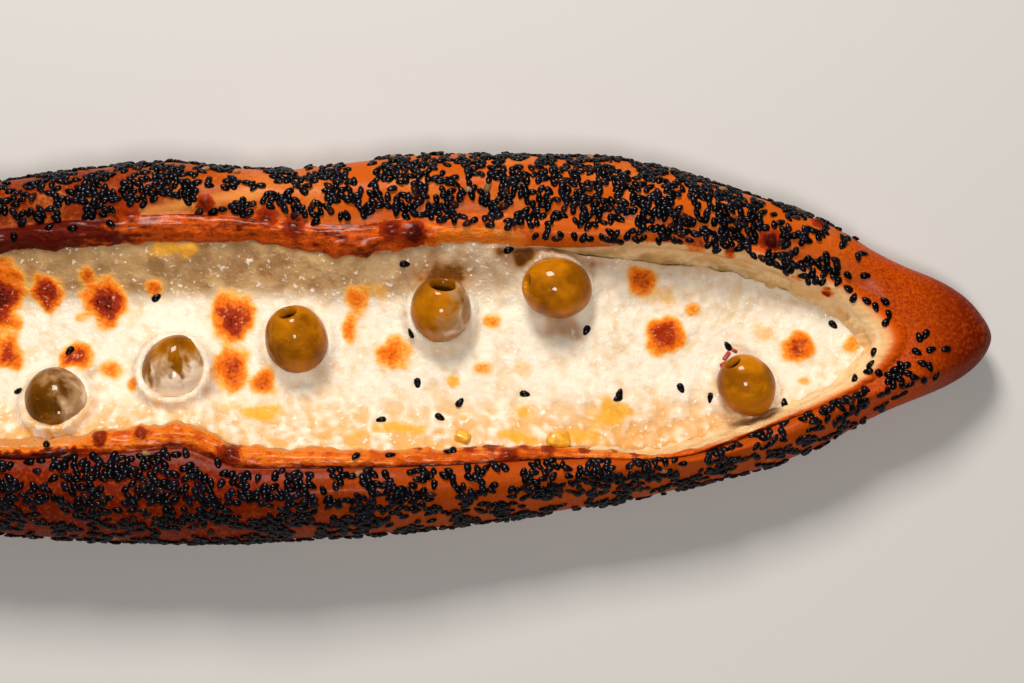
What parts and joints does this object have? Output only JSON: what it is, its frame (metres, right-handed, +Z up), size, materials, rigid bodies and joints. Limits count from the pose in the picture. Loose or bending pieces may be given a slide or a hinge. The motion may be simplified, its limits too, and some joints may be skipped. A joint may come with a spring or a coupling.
{
  "type": "turkish pide",
  "caption": "Long boat-shaped Turkish flatbread with a thick seeded crust, melted cheese filling and pitted green olives.",
  "frame": {"origin": "middle of the bread's underside, on the surface it rests on", "axes": "+X along the boat's length, +Y across it, +Z up"},
  "size_m": [0.444, 0.1243, 0.0369],
  "materials": {
    "crust": "baked dough, brushed glossy, black sesame seeds",
    "cheese": "melted cheese with browned blisters",
    "olive": "wet green olive skin"
  },
  "bodies": {
    "root": {"crust": "crust", "cheese_filling": "cheese", "olive_1": "olive", "olive_2": "olive", "olive_3": "olive", "olive_4": "olive", "olive_5": "olive", "olive_6": "olive", "olive_7": "olive", "olive_8": "olive"}
  },
  "joints": []
}
